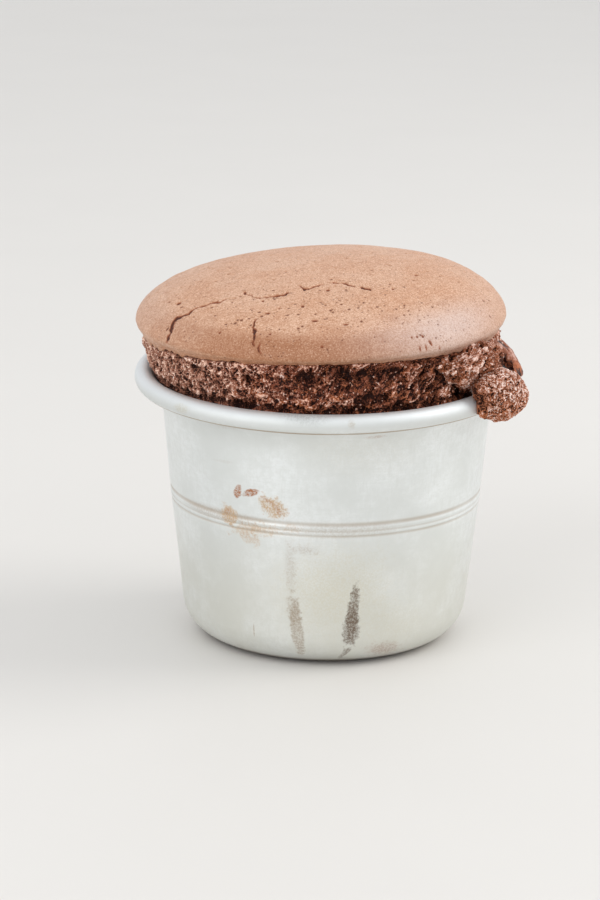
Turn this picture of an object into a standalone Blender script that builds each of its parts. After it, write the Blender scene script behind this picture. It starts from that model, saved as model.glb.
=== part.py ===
"""Chocolate fondant risen above the small aluminium pudding tin that it was baked in.

Metres, +Z up.  The origin is the centre of the tin's flat base, on the table.  The front,
where the rim dips a little, is -Y, and the spill runs over the rim at the right, +X.
Run with: blender --background --python part.py
"""
import math

import bpy
import bmesh
import numpy as np
from mathutils import Matrix, Vector, noise

MM = 0.001

# The tin: one sheet of aluminium, pressed and then rolled over at the rim.
SHEET = 0.9 * MM
BASE_FILLET = 8.5 * MM
WALL_FOOT = (32.08 * MM, 11.2 * MM)
WALL_BAND = (34.38 * MM, 32.1 * MM)
WALL_TOP = (36.03 * MM, 50.0 * MM)
BEAD_CENTRE = (40.4 * MM, 58.7 * MM)
BEAD_RADIUS = 2.1 * MM
BEAD_START = math.radians(145)
BEAD_END = math.radians(-110)
# Pressed lines round the wall, as height and how far each stands out (or in, below zero).
BAND_LINES = (
    (30.4 * MM, 0.0),
    (31.0 * MM, -0.30 * MM),
    (31.5 * MM, 0.20 * MM),
    (32.05 * MM, -0.12 * MM),
    (32.7 * MM, 0.25 * MM),
    (33.6 * MM, -0.35 * MM),
    (34.4 * MM, 0.0),
)
# A much used rim is out of true: its rise for each metre to the right and to the back.
RIM_LEAN = (0.010, 0.040)
LEAN_FROM = 45 * MM
LEAN_TO = 56 * MM
TIN_SEGMENTS = 64

# The fondant: crust sizes first, as a tilted edge with a lip below it and a dome above it.
GAP = 0.3 * MM
CRUST_CENTRE = (-1.6 * MM, 0.4 * MM)
CRUST_RADIUS = 40.65 * MM
EDGE_HEIGHT = 71.86 * MM
EDGE_SLOPE = (0.0274, 0.0327)
EDGE_INSET = 1.8 * MM
LIP_DEPTH = 1.3 * MM
LIP_SIDE_DEPTH = 2.4 * MM
DOME_HEIGHT = 7.85 * MM
DOME_RIGHT_SHIFT = 1.7 * MM
DOME_SIDE_SWELL = 2.0 * MM
SHOULDER_HEIGHT = 4.78 * MM
SHOULDER_POWER = 8.2
# Rings of the lip, as shares of its inset and depth, and of the dome, as shares of its radius.
LIP_STEPS = ((1.0, 1.0), (0.75, 0.6), (0.22, 0.28))
DOME_STEPS = (1.0, 0.987, 0.965, 0.925, 0.86, 0.76, 0.62, 0.45, 0.25)
CAKE_SEGMENTS = 104
WALL_ROWS = 9
WALL_FLARE = 1.35

# Crags in the bare wall: how many, where, how large and how deep; they fade at both edges.
CRUMB_SEED = 31
CRUMB_COUNT = 420
CRUMB_HEIGHTS = (58 * MM, 71 * MM)
CRUMB_SIZES = (1.2 * MM, 2.8 * MM)
CRUMB_FLATNESS = 0.7
CRUMB_STRENGTHS = (-1.0, 0.8)
CRUMB_LIMITS = (-1.6, 1.2)
CRUMB_DEPTH = 0.5 * MM
CRUMB_STARTS = 0.1
CRUMB_FADE = (0.3, 0.2)

# Where batter ran over the rim.  The clearance is a ring cut away to leave the rim free.
CLEARANCE_START = math.radians(137)
CLEARANCE_FOOT = 48 * MM
LUMP_SEGMENTS = (24, 13)
# A grain of the lumps' roughness is a noise scale and its share.
LUMP_GRAINS = ((2.0, 0.30), (5.0, 0.18))
# Each lump is: its angle round the tin, distance from the axis and height; half its size
# outwards, along the rim and upwards; how many degrees it tips down outwards and falls
# along the rim towards the right; and how rough it is.  Degrees and millimetres.
LUMPS = {
    "spill_drop": ((-30.8, 42.8, 59.3), (4.3, 9.7, 5.6), (0, 12), 0.22),
    "spill_neck": ((-32.0, 38.0, 65.4), (4.6, 8.2, 5.4), (15, 10), 0.35),
    "spill_ridge": ((-44.0, 38.2, 65.3), (3.0, 6.6, 2.6), (0, 24), 0.45),
    "spill_flap": ((-4.0, 39.2, 63.5), (5.7, 6.2, 1.5), (50, 0), 0.12),
}


def remove_everything():
    for item in list(bpy.data.objects):
        bpy.data.objects.remove(item, do_unlink=True)


def principled(name, colour, roughness, metallic):
    material = bpy.data.materials.new(name)
    material.use_nodes = True
    shader = material.node_tree.nodes["Principled BSDF"]
    shader.inputs["Base Color"].default_value = (*colour, 1.0)
    shader.inputs["Roughness"].default_value = roughness
    shader.inputs["Metallic"].default_value = metallic
    return material


def add_object(name, mesh, material=None):
    item = bpy.data.objects.new(name, mesh)
    bpy.context.scene.collection.objects.link(item)
    if material:
        mesh.materials.append(material)
    return item


def shade(mesh, sharp_degrees):
    mesh.shade_smooth()
    mesh.set_sharp_from_angle(angle=math.radians(sharp_degrees))


def smooth_step(value):
    value = np.clip(value, 0.0, 1.0)
    return value * value * (3 - 2 * value)


def lean(x, y, z):
    """Height after the rim's dip: nothing below LEAN_FROM, the whole slope above LEAN_TO."""
    share = smooth_step((z - LEAN_FROM) / (LEAN_TO - LEAN_FROM))
    return z + share * (RIM_LEAN[0] * x + RIM_LEAN[1] * y)


def lean_mesh(mesh):
    for vertex in mesh.vertices:
        vertex.co.z = float(lean(*vertex.co))


# --- the tin's outline, as (radius, height) pairs ---

def wall_radius(z):
    stations = (WALL_FOOT, WALL_BAND, WALL_TOP)
    slope = (WALL_BAND[0] - WALL_FOOT[0]) / (WALL_BAND[1] - WALL_FOOT[1])
    if z < WALL_FOOT[1]:
        return WALL_FOOT[0] + (z - WALL_FOOT[1]) * slope
    return float(np.interp(z, [s[1] for s in stations], [s[0] for s in stations]))


def taper_angle(low, high):
    return math.atan2(high[0] - low[0], high[1] - low[1])


def arc(centre, radius, start, end, steps):
    angles = np.linspace(start, end, steps + 1)
    return [(centre[0] + radius * math.cos(a), centre[1] + radius * math.sin(a)) for a in angles]


def base_corner(inset, steps):
    """The corner between base and wall, drawn in by inset from the outside of the tin."""
    taper = taper_angle(WALL_FOOT, WALL_BAND)
    end_height = BASE_FILLET * (1 - math.sin(taper))
    centre_radius = wall_radius(end_height) - BASE_FILLET * math.cos(taper)
    return arc((centre_radius, BASE_FILLET), BASE_FILLET - inset, -math.pi / 2, -taper, steps)


def flare(inset, steps):
    """The sweep from the straight wall out to the bead, an arc that is tangent to both."""
    mid_radius = BEAD_RADIUS - SHEET / 2
    taper = taper_angle(WALL_BAND, WALL_TOP)
    end_slope = math.pi - BEAD_START
    start = (WALL_TOP[0] - SHEET / 2, WALL_TOP[1])
    end = (BEAD_CENTRE[0] + mid_radius * math.cos(BEAD_START),
           BEAD_CENTRE[1] + mid_radius * math.sin(BEAD_START))
    chord = math.hypot(end[0] - start[0], end[1] - start[1])
    sweep = chord / (2 * math.sin((end_slope - taper) / 2))
    points = []
    for share in np.linspace(0, 1, steps + 1):
        slope = taper + share * (end_slope - taper)
        r = start[0] + sweep * (math.cos(taper) - math.cos(slope))
        z = start[1] + sweep * (math.sin(slope) - math.sin(taper))
        side = SHEET / 2 - inset
        points.append((r + side * math.cos(slope), z - side * math.sin(slope)))
    return points


def bead(offset, start, end, steps):
    return arc(BEAD_CENTRE, BEAD_RADIUS + offset, start, end, steps)


def tin_outline():
    outside = [(0.0, 0.0)] + base_corner(0.0, 4)
    outside += [(wall_radius(z) + stand, z) for z, stand in BAND_LINES]
    outside += flare(0.0, 3)[:-1]
    curl_inside = bead(-SHEET, BEAD_START, BEAD_END, 7)
    curl_outside = bead(0.0, BEAD_START, BEAD_END, 12)
    inside = flare(SHEET, 3)[:-1] + curl_outside
    inside.reverse()
    outside += curl_inside + inside
    outside += reversed(base_corner(SHEET, 4))
    return outside + [(0.0, SHEET)]


def turn(name, outline, closed_ring=False):
    """A solid of revolution about Z from an outline of (radius, height) pairs."""
    bm = bmesh.new()
    points = [bm.verts.new((r, 0.0, z)) for r, z in outline]
    edges = [bm.edges.new(pair) for pair in zip(points, points[1:])]
    if closed_ring:
        edges.append(bm.edges.new((points[-1], points[0])))
    bmesh.ops.spin(bm, geom=points + edges, axis=(0, 0, 1), cent=(0, 0, 0),
                   steps=TIN_SEGMENTS, angle=2 * math.pi, use_merge=True)
    bmesh.ops.remove_doubles(bm, verts=bm.verts, dist=1e-6)
    bmesh.ops.recalc_face_normals(bm, faces=bm.faces)
    mesh = bpy.data.meshes.new(name)
    bm.to_mesh(mesh)
    bm.free()
    lean_mesh(mesh)
    return mesh


# --- the fondant's surface, row by row from the base up ---

def crumb_relief(angle, height):
    """Crags of torn crumb: seeded soft dents and swellings spread over the bare wall."""
    rng = np.random.default_rng(CRUMB_SEED)
    relief = np.zeros(np.broadcast(angle, height).shape)
    for _ in range(CRUMB_COUNT):
        at_angle = rng.uniform(0, 2 * math.pi)
        at_height = rng.uniform(*CRUMB_HEIGHTS)
        wide = rng.uniform(*CRUMB_SIZES)
        tall = rng.uniform(*CRUMB_SIZES) * CRUMB_FLATNESS
        strength = rng.uniform(*CRUMB_STRENGTHS)
        across = (np.mod(angle - at_angle + math.pi, 2 * math.pi) - math.pi) * CRUST_RADIUS
        relief += strength * np.exp(-(across / wide) ** 2 - ((height - at_height) / tall) ** 2)
    return CRUMB_DEPTH * np.clip(relief, *CRUMB_LIMITS)


def edge_height(x, y):
    return EDGE_HEIGHT + EDGE_SLOPE[0] * x + EDGE_SLOPE[1] * y


def lip_ring(angle, inset_share, drop_share):
    """A ring under the crust's edge, drawn in and down by shares of the lip's inset and depth."""
    radius = CRUST_RADIUS - inset_share * EDGE_INSET
    x = CRUST_CENTRE[0] + radius * np.cos(angle)
    y = CRUST_CENTRE[1] + radius * np.sin(angle)
    depth = LIP_DEPTH + LIP_SIDE_DEPTH * np.cos(angle) ** 2
    return np.stack([x, y, edge_height(x, y) - drop_share * depth], axis=-1)


def dome_ring(angle, share):
    """A ring of the crust: a low dome with a rounded shoulder, fuller at the right."""
    u = share * np.cos(angle)
    x = CRUST_CENTRE[0] + CRUST_RADIUS * u
    y = CRUST_CENTRE[1] + CRUST_RADIUS * share * np.sin(angle)
    swell = DOME_HEIGHT + DOME_RIGHT_SHIFT * u + DOME_SIDE_SWELL * u * u
    shoulder = SHOULDER_HEIGHT * math.sqrt(1 - share ** SHOULDER_POWER)
    return np.stack([x, y, edge_height(x, y) + (1 - share ** 2) * swell + shoulder], axis=-1)


def tin_rows(angle):
    """The fondant's hidden side, one gap inside the tin, up to where it leaves the rim."""
    rows = base_corner(SHEET + GAP, 3)
    rows += flare(SHEET + GAP, 3)
    rings = []
    for r, z in rows:
        x = r * np.cos(angle)
        y = r * np.sin(angle)
        rings.append(np.stack([x, y, lean(x, y, z)], axis=-1))
    return rings


def bare_wall_rows(angle, low, high):
    """Torn crumb between the rim and the crust, flaring from one ring to the other."""
    rings = []
    for share in np.linspace(0, 1, WALL_ROWS + 1)[1:]:
        flared = 1 - (1 - share) ** WALL_FLARE
        ring = low + (high - low) * flared
        ring[:, 2] = low[:, 2] + (high[:, 2] - low[:, 2]) * share
        fade_in = smooth_step((share - CRUMB_STARTS) / CRUMB_FADE[0])
        fade_out = smooth_step((1 - share) / CRUMB_FADE[1])
        push = fade_in * fade_out * crumb_relief(angle, ring[:, 2])
        ring[:, 0] += push * np.cos(angle)
        ring[:, 1] += push * np.sin(angle)
        rings.append(ring)
    return rings


def fondant_rings():
    angle = np.linspace(0, 2 * math.pi, CAKE_SEGMENTS, endpoint=False)
    rings = tin_rows(angle)
    lip = [lip_ring(angle, *step) for step in LIP_STEPS]
    rings += bare_wall_rows(angle, rings[-1], lip[0])
    rings += lip[1:]
    rings += [dome_ring(angle, share) for share in DOME_STEPS]
    return rings


def loft(name, rings, bottom, top):
    """A closed solid from equal rings, capped by a fan at each end."""
    count = len(rings[0])
    points = np.concatenate([*rings, [bottom], [top]])
    low = np.arange(count)
    high = np.roll(low, -1)
    faces = []
    last = (len(rings) - 1) * count
    for base in range(0, last, count):
        above = base + count
        faces += np.stack([base + low, base + high, above + high, above + low], axis=1).tolist()
    faces += [(int(b), int(a), len(points) - 2) for a, b in zip(low, high)]
    faces += [(last + int(a), last + int(b), len(points) - 1) for a, b in zip(low, high)]
    mesh = bpy.data.meshes.new(name)
    mesh.from_pydata(points.tolist(), [], faces)
    return mesh


# --- the spill over the rim ---

def lump(name, place, half_size, tilt, roughness):
    """A rough egg of spilt batter, tilted and set round the tin by its angle."""
    turn_by, distance, height = place
    bm = bmesh.new()
    around, up = LUMP_SEGMENTS
    bmesh.ops.create_uvsphere(bm, u_segments=around, v_segments=up, radius=1.0)
    shift = Vector((turn_by, 0, 0))
    for vertex in bm.verts:
        grains = [share * noise.noise(vertex.co * scale + shift) for scale, share in LUMP_GRAINS]
        vertex.co *= 1 + roughness * sum(grains)
    size = Matrix.Diagonal((*(s * MM for s in half_size), 1.0))
    tipped = Matrix.Rotation(math.radians(tilt[0]), 4, "Y")
    fall = Matrix.Rotation(math.radians(-tilt[1]), 4, "X")
    out = Matrix.Translation((distance * MM, 0, height * MM))
    turned = Matrix.Rotation(math.radians(turn_by), 4, "Z")
    bmesh.ops.transform(bm, matrix=turned @ out @ tipped @ fall @ size, verts=bm.verts)
    mesh = bpy.data.meshes.new(name)
    bm.to_mesh(mesh)
    bm.free()
    return add_object(name, mesh)


def rim_clearance():
    """A ring that fills the rim and its gap, so that the spill is cut to lie over it."""
    inner = [(r - GAP / 2, z) for r, z in flare(SHEET + GAP, 2)[:-1]]
    over = bead(GAP, CLEARANCE_START, 0.0, 9)
    outline = [(inner[0][0], CLEARANCE_FOOT)] + inner + over + [(over[-1][0], CLEARANCE_FOOT)]
    ring = add_object("rim_clearance", turn("rim_clearance", outline, closed_ring=True))
    ring.hide_render = True
    ring.display_type = "WIRE"
    return ring


def apply_modifiers(item):
    evaluated = item.evaluated_get(bpy.context.evaluated_depsgraph_get())
    mesh = bpy.data.meshes.new_from_object(evaluated)
    item.modifiers.clear()
    item.data = mesh


def cut(item, cutter):
    boolean = item.modifiers.new("clear_the_rim", "BOOLEAN")
    boolean.operation = "DIFFERENCE"
    boolean.solver = "EXACT"
    boolean.object = cutter
    apply_modifiers(item)


def fuse(item, collection):
    boolean = item.modifiers.new("fuse_the_spill", "BOOLEAN")
    boolean.operation = "UNION"
    boolean.solver = "EXACT"
    boolean.operand_type = "COLLECTION"
    boolean.collection = collection
    apply_modifiers(item)


def drop_scraps(mesh):
    """Keeps the largest connected skin: loose scraps go, and sealed pockets are filled."""
    bm = bmesh.new()
    bm.from_mesh(mesh)
    unseen = set(bm.faces)
    skins = []
    while unseen:
        skin = set()
        front = {unseen.pop()}
        while front:
            skin |= front
            linked = {near for face in front for edge in face.edges for near in edge.link_faces}
            front = linked & unseen
            unseen -= front
        skins.append(skin)
    skins.sort(key=len)
    scraps = [face for skin in skins[:-1] for face in skin]
    bmesh.ops.delete(bm, geom=scraps, context="FACES")
    bm.to_mesh(mesh)
    bm.free()


def make_tin():
    aluminium = principled("aluminium", (0.60, 0.60, 0.57), 0.42, 1.0)
    mesh = turn("tin", tin_outline())
    shade(mesh, 40)
    add_object("tin", mesh, aluminium)


def make_fondant():
    sponge = principled("chocolate_sponge", (0.105, 0.042, 0.024), 0.8, 0.0)
    rings = fondant_rings()
    bottom = (0.0, 0.0, SHEET + GAP)
    top = dome_ring(np.zeros(1), 0.0)[0]
    fondant = add_object("fondant", loft("fondant", rings, bottom, top), sponge)
    clearance = rim_clearance()
    spill = bpy.data.collections.new("spill")
    bpy.context.scene.collection.children.link(spill)
    for name, shape in LUMPS.items():
        piece = lump(name, *shape)
        cut(piece, clearance)
        bpy.context.scene.collection.objects.unlink(piece)
        spill.objects.link(piece)
    fuse(fondant, spill)
    for piece in list(spill.objects):
        bpy.data.objects.remove(piece, do_unlink=True)
    bpy.data.collections.remove(spill)
    bpy.data.objects.remove(clearance, do_unlink=True)
    drop_scraps(fondant.data)
    shade(fondant.data, 50)


remove_everything()
make_tin()
make_fondant()
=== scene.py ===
"""A chocolate fondant, risen above the small aluminium pudding tin that it was baked in.

Metres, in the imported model's frame: +Z up, the origin at the centre of the tin's base on
the table, the front at -Y.  Shapes are worked out in millimetres and scaled once, when a
mesh is made.
"""
import math

import bpy
import numpy as np
from mathutils import Matrix, Vector


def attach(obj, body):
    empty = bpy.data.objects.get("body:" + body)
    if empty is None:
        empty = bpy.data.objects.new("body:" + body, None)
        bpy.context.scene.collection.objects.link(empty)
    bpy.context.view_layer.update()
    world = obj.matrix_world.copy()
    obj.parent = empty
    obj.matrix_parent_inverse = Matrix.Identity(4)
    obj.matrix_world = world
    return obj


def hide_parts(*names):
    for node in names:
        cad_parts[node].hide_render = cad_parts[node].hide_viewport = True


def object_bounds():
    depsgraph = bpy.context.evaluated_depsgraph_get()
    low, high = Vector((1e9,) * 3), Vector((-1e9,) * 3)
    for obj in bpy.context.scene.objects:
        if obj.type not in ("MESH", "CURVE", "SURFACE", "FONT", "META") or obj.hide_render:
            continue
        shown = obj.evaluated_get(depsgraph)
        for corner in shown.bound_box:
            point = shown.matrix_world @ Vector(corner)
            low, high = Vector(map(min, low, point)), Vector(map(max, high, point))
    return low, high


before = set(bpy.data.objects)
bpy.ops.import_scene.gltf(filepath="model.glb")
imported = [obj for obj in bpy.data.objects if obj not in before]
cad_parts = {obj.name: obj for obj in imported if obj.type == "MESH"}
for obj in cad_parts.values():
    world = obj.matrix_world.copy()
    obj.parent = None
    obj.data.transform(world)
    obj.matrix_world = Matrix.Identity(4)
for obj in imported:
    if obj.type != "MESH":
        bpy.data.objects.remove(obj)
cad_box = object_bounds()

MM = 0.001


# --- The view ---
# A long lens, a little above the crust: the height of someone who sits down to the pudding.

VIEW_AIM = Vector((-5.8, 0.0, 40.84)) * MM
VIEW_DISTANCE = 650 * MM
VIEW_ABOVE = math.radians(14.92)
VIEW_ROLL = math.radians(0.73)
VIEW_LENS = 116.9


def put(name, data):
    """A new object in the scene, at the origin until it is moved."""
    thing = bpy.data.objects.new(name, data)
    bpy.context.scene.collection.objects.link(thing)
    return thing


def place_camera():
    """Stands back from the aim point, raised by an angle and rolled about its own axis."""
    lens = bpy.data.cameras.new("view")
    lens.lens = VIEW_LENS
    camera = put("view", lens)
    back = Vector((0, -math.cos(VIEW_ABOVE), math.sin(VIEW_ABOVE)))
    stand = Matrix.Translation(VIEW_AIM + back * VIEW_DISTANCE)
    tilt = Matrix.Rotation(math.pi / 2 - VIEW_ABOVE, 4, "X")
    camera.matrix_world = stand @ tilt @ Matrix.Rotation(VIEW_ROLL, 4, "Z")
    bpy.context.scene.camera = camera


place_camera()


# --- The table ---
# A wide painted board, off-white and matt.  It isn't part of the object.

TABLE_SIZE = 8.0
TABLE_PAINT = (0.74, 0.72, 0.69)
TABLE_WORN = 0.97
TABLE_CLOUDS = 60.0
TABLE_ROUGHNESS = 0.55


def feed(tree, node, inputs):
    """Sets a node's sockets: a socket given as the value is linked, anything else is stored."""
    for name, value in inputs.items():
        if isinstance(value, bpy.types.NodeSocket):
            tree.links.new(value, node.inputs[name])
        elif node.inputs[name].type == "RGBA":
            node.inputs[name].default_value = (*value, 1.0)
        else:
            node.inputs[name].default_value = value


def add(tree, kind, inputs=None, **settings):
    """A shader node of that kind, with its settings and its sockets fed."""
    node = tree.nodes.new("ShaderNode" + kind)
    for name, value in settings.items():
        setattr(node, name, value)
    feed(tree, node, inputs or {})
    return node


def mix(tree, share, low, high):
    """The colour socket of a Mix node: low where share is 0, high where it is 1."""
    return add(tree, "Mix", {0: share, 6: low, 7: high}, data_type="RGBA").outputs[2]


def clouds(tree, place, size, detail=3.0, roughness=0.5):
    """Noise from 0 to 1 whose patches are about so many millimetres across."""
    scale = 1 / (size * MM)
    inputs = {"Vector": place, "Scale": scale, "Detail": detail, "Roughness": roughness}
    return add(tree, "TexNoise", inputs).outputs["Fac"]


def start_material(name):
    """A new material, its tree, its shader, and the socket that gives a point's place."""
    material = bpy.data.materials.new(name)
    material.use_nodes = True
    tree = material.node_tree
    place = add(tree, "TexCoord").outputs["Object"]
    return material, tree, tree.nodes["Principled BSDF"], place


def painted_board():
    material, tree, shader, place = start_material("painted_board")
    worn = tuple(TABLE_WORN * c for c in TABLE_PAINT)
    paint = mix(tree, clouds(tree, place, TABLE_CLOUDS), worn, TABLE_PAINT)
    feed(tree, shader, {"Base Color": paint, "Roughness": TABLE_ROUGHNESS})
    return material


def make_table():
    half = TABLE_SIZE / 2
    mesh = bpy.data.meshes.new("table")
    corners = [(-half, -half, 0), (half, -half, 0), (half, half, 0), (-half, half, 0)]
    mesh.from_pydata(corners, [], [(0, 1, 2, 3)])
    mesh.materials.append(painted_board())
    put("table", mesh)


make_table()


# --- The light ---
# Soft daylight: a window at the right, and a bright room all round.

ROOM_COLOUR = (0.955, 0.965, 0.98)
ROOM_STRENGTH = 0.915
WINDOW_FROM = Vector((0.85, 0.10, 0.62))
WINDOW_SIZE = 0.60
WINDOW_POWER = 4.3
WINDOW_COLOUR = (1.0, 0.985, 0.96)
FILL_FROM = Vector((-0.75, -0.85, 0.60))
FILL_SIZE = 1.0
FILL_POWER = 4.9


def light_panel(name, place, size, power, colour):
    """A square panel of light that faces the middle of the object."""
    lamp = bpy.data.lights.new(name, "AREA")
    lamp.size = size
    lamp.energy = power
    lamp.color = colour
    panel = put(name, lamp)
    panel.location = place
    aim = Vector((0, 0, cad_box[1].z / 2)) - place
    panel.rotation_mode = "QUATERNION"
    panel.rotation_quaternion = aim.to_track_quat("-Z", "Y")


def light_room():
    room = bpy.data.worlds.new("room")
    room.use_nodes = True
    tree = room.node_tree
    feed(tree, tree.nodes["Background"], {"Color": ROOM_COLOUR, "Strength": ROOM_STRENGTH})
    bpy.context.scene.world = room
    bpy.context.scene.view_settings.view_transform = "Standard"


light_room()
light_panel("window", WINDOW_FROM, WINDOW_SIZE, WINDOW_POWER, WINDOW_COLOUR)
light_panel("fill", FILL_FROM, FILL_SIZE, FILL_POWER, ROOM_COLOUR)


# --- The tin ---
# A small pudding tin, pressed from one sheet of aluminium, with three fine lines pressed
# round its wall.  Its rim is rolled outwards into a bead whose cut edge stays open below.

SHEET = 0.9
BASE_FILLET = 8.5
BASE_RINGS = (14.0, 20.0)
WALL_FOOT = (32.08, 11.2)
WALL_BAND = (34.38, 32.1)
WALL_TOP = (36.03, 50.0)
BEAD_CENTRE = (40.4, 58.7)
BEAD_RADIUS = 2.1
BEAD_START = math.radians(145)
BEAD_END = math.radians(-110)
BAND_HEIGHTS = (30.4, 31.0, 31.5, 32.05, 32.7, 33.6, 34.4)
BAND_STANDS = (0.0, -0.11, 0.05, -0.06, 0.06, -0.13, 0.0)
RIM_LEAN = (0.010, 0.040)
LEAN_FROM = 45.0
LEAN_TO = 56.0
TIN_COLUMNS = 320
# Heights between which the wall is straight, outside and inside, and the steps between rings.
STRAIGHT_OUTSIDE = (10.0, 49.0)
STRAIGHT_INSIDE = (12.0, 48.0)
WALL_STEP, LINE_STEP, INSIDE_STEP = 2.2, 0.11, 9.0
DENT_SIZE = 17.0
DENT_DEPTH = 0.16
DENT_RADIUS = 36.0
# Dents fade in up the wall and out from the base: from where, and over how far.
DENT_UP = (4.0, 14.0)
DENT_OUT = (25.0, 5.0)
# Grime and painted shade in the pressed lines, by how far they are pressed in; painted shade
# in the slit below the curl; and painted shade on the foot's corner.
LINE_GRIME_AND_SHADE = (0.20, 0.62)
CURL_BELOW = 1.6
FOOT_CORNER_SHADE = (2.2, 2.0, 0.6)

ALUMINIUM = (0.835, 0.865, 0.865)
ALUMINIUM_DULL = (0.725, 0.750, 0.735)
GRIME_AND_SHADE = (0.42, 0.34, 0.26)


def smooth_step(value):
    value = np.clip(value, 0.0, 1.0)
    return value * value * (3 - 2 * value)


def lean(x, y, z):
    """Height after the rim's dip: none below LEAN_FROM, the whole slope above LEAN_TO."""
    share = smooth_step((z - LEAN_FROM) / (LEAN_TO - LEAN_FROM))
    return z + share * (RIM_LEAN[0] * x + RIM_LEAN[1] * y)


def wall_radius(z):
    """Outside radius of the straight wall: three stations joined by straight lines."""
    stations = (WALL_FOOT, WALL_BAND, WALL_TOP)
    slope = (WALL_BAND[0] - WALL_FOOT[0]) / (WALL_BAND[1] - WALL_FOOT[1])
    below = WALL_FOOT[0] + (z - WALL_FOOT[1]) * slope
    inside = np.interp(z, [s[1] for s in stations], [s[0] for s in stations])
    return np.where(z < WALL_FOOT[1], below, inside)


def taper_angle(low, high):
    return math.atan2(high[0] - low[0], high[1] - low[1])


def arc(centre, radius, start, end, steps):
    """Points along a circle's arc, as (radius, height) rows."""
    angle = np.linspace(start, end, steps + 1)
    return np.stack([centre[0] + radius * np.cos(angle), centre[1] + radius * np.sin(angle)], 1)


def base_corner(inset, steps):
    """The rounded corner between base and wall, drawn in by inset from the outside."""
    taper = taper_angle(WALL_FOOT, WALL_BAND)
    end_height = BASE_FILLET * (1 - math.sin(taper))
    centre_radius = float(wall_radius(end_height)) - BASE_FILLET * math.cos(taper)
    return arc((centre_radius, BASE_FILLET), BASE_FILLET - inset, -math.pi / 2, -taper, steps)


def flare(inset, steps):
    """The sweep from the straight wall out to the bead: an arc that is tangent to both."""
    mid_radius = BEAD_RADIUS - SHEET / 2
    taper = taper_angle(WALL_BAND, WALL_TOP)
    end_slope = math.pi - BEAD_START
    start = np.array([WALL_TOP[0] - SHEET / 2, WALL_TOP[1]])
    end = arc(BEAD_CENTRE, mid_radius, BEAD_START, BEAD_START, 1)[0]
    sweep = np.linalg.norm(end - start) / (2 * math.sin((end_slope - taper) / 2))
    slope = np.linspace(taper, end_slope, steps + 1)
    side = SHEET / 2 - inset
    r = start[0] + sweep * (math.cos(taper) - np.cos(slope)) + side * np.cos(slope)
    z = start[1] + sweep * (np.sin(slope) - math.sin(taper)) - side * np.sin(slope)
    return np.stack([r, z], 1)


def band_stand(z):
    """How far the pressed lines stand out at a height, eased from one line to the next."""
    line = np.interp(z, BAND_HEIGHTS, np.arange(len(BAND_HEIGHTS)))
    low = np.minimum(line.astype(int), len(BAND_HEIGHTS) - 2)
    here, there = np.take(BAND_STANDS, low), np.take(BAND_STANDS, low + 1)
    return here + (there - here) * smooth_step(line - low)


def straight_wall(low, high, step, inset=0.0, lines=False):
    """The wall between two heights, with the pressed lines' relief where it is wanted."""
    z = np.linspace(low, high, max(2, round((high - low) / step)))
    r = wall_radius(z) - inset + (band_stand(z) if lines else 0)
    return np.stack([r, z], 1)


def tin_outline():
    """The sheet's whole section: up the outside, round the curl and down the inside."""
    low, high = BAND_HEIGHTS[0], BAND_HEIGHTS[-1]
    outside = [np.array([[r, 0.0] for r in BASE_RINGS]), base_corner(0.0, 14),
               straight_wall(STRAIGHT_OUTSIDE[0], low - 1, WALL_STEP),
               straight_wall(low, high, LINE_STEP, lines=True),
               straight_wall(high + 1, STRAIGHT_OUTSIDE[1], WALL_STEP),
               flare(0.0, 12)[:-1]]
    curl = [arc(BEAD_CENTRE, BEAD_RADIUS - SHEET, BEAD_START, BEAD_END, 14),
            arc(BEAD_CENTRE, BEAD_RADIUS, BEAD_END, BEAD_START, 34)]
    inside = [flare(SHEET, 10)[-2::-1],
              straight_wall(*STRAIGHT_INSIDE, INSIDE_STEP, SHEET)[::-1],
              base_corner(SHEET, 6)[::-1], np.array([[BASE_RINGS[0], SHEET]])]
    return np.concatenate(outside + curl + inside)


HASH_STEPS = (374761393, 668265263, 1442695041, 1274126177)


def lattice_share(place, salt):
    """A steady share from 0 to 1 for each whole-number place, its numbers mixed and hashed."""
    across, back, up, stir = HASH_STEPS
    mixed = place[..., 0] * across + place[..., 1] * back + place[..., 2] * up + salt * stir
    mixed &= 0xFFFFFFFF
    mixed = ((mixed ^ (mixed >> 13)) * stir) & 0xFFFFFFFF
    return ((mixed ^ (mixed >> 16)) & 0xFFFFFF) / 0xFFFFFF


def soft_noise(points, size, salt=0):
    """Smooth noise from -1 to 1: shares at a cubic lattice's corners, eased between them."""
    scaled = points / size
    corner = np.floor(scaled)
    part = smooth_step(scaled - corner)
    corner = corner.astype(np.int64)
    level = np.zeros(points.shape[:-1])
    for step in np.ndindex(2, 2, 2):
        weight = np.prod(np.where(step, part, 1 - part), axis=-1)
        level += weight * lattice_share(corner + np.array(step), salt)
    return 2 * level - 1


def between_rings(index):
    """Quads between rings of point numbers, each ring closed on itself."""
    right = np.roll(index, -1, axis=1)
    return np.stack([index[:-1], right[:-1], right[1:], index[1:]], axis=-1).reshape(-1, 4)


def fan(ring, pole):
    """Triangles from a ring of point numbers to a pole above it."""
    return np.stack([ring, np.roll(ring, -1), np.full(ring.size, pole)], axis=-1)


def closed_skin(rings, low_pole, high_pole):
    """Points and faces over equal rings: quads between them, and a fan to each end's pole."""
    rows, columns = rings.shape[:2]
    count = rows * columns
    index = np.arange(count).reshape(rows, columns)
    points = np.concatenate([rings.reshape(-1, 3), [low_pole, high_pole]])
    return points, between_rings(index), fan(index[0], count)[:, ::-1], fan(index[-1], count + 1)


def make_mesh(name, points, *faces):
    """A smooth mesh from points in millimetres and arrays of faces."""
    mesh = bpy.data.meshes.new(name)
    mesh.from_pydata(points * MM, [], [face for kind in faces for face in kind.tolist()])
    mesh.shade_smooth()
    return mesh


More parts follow.
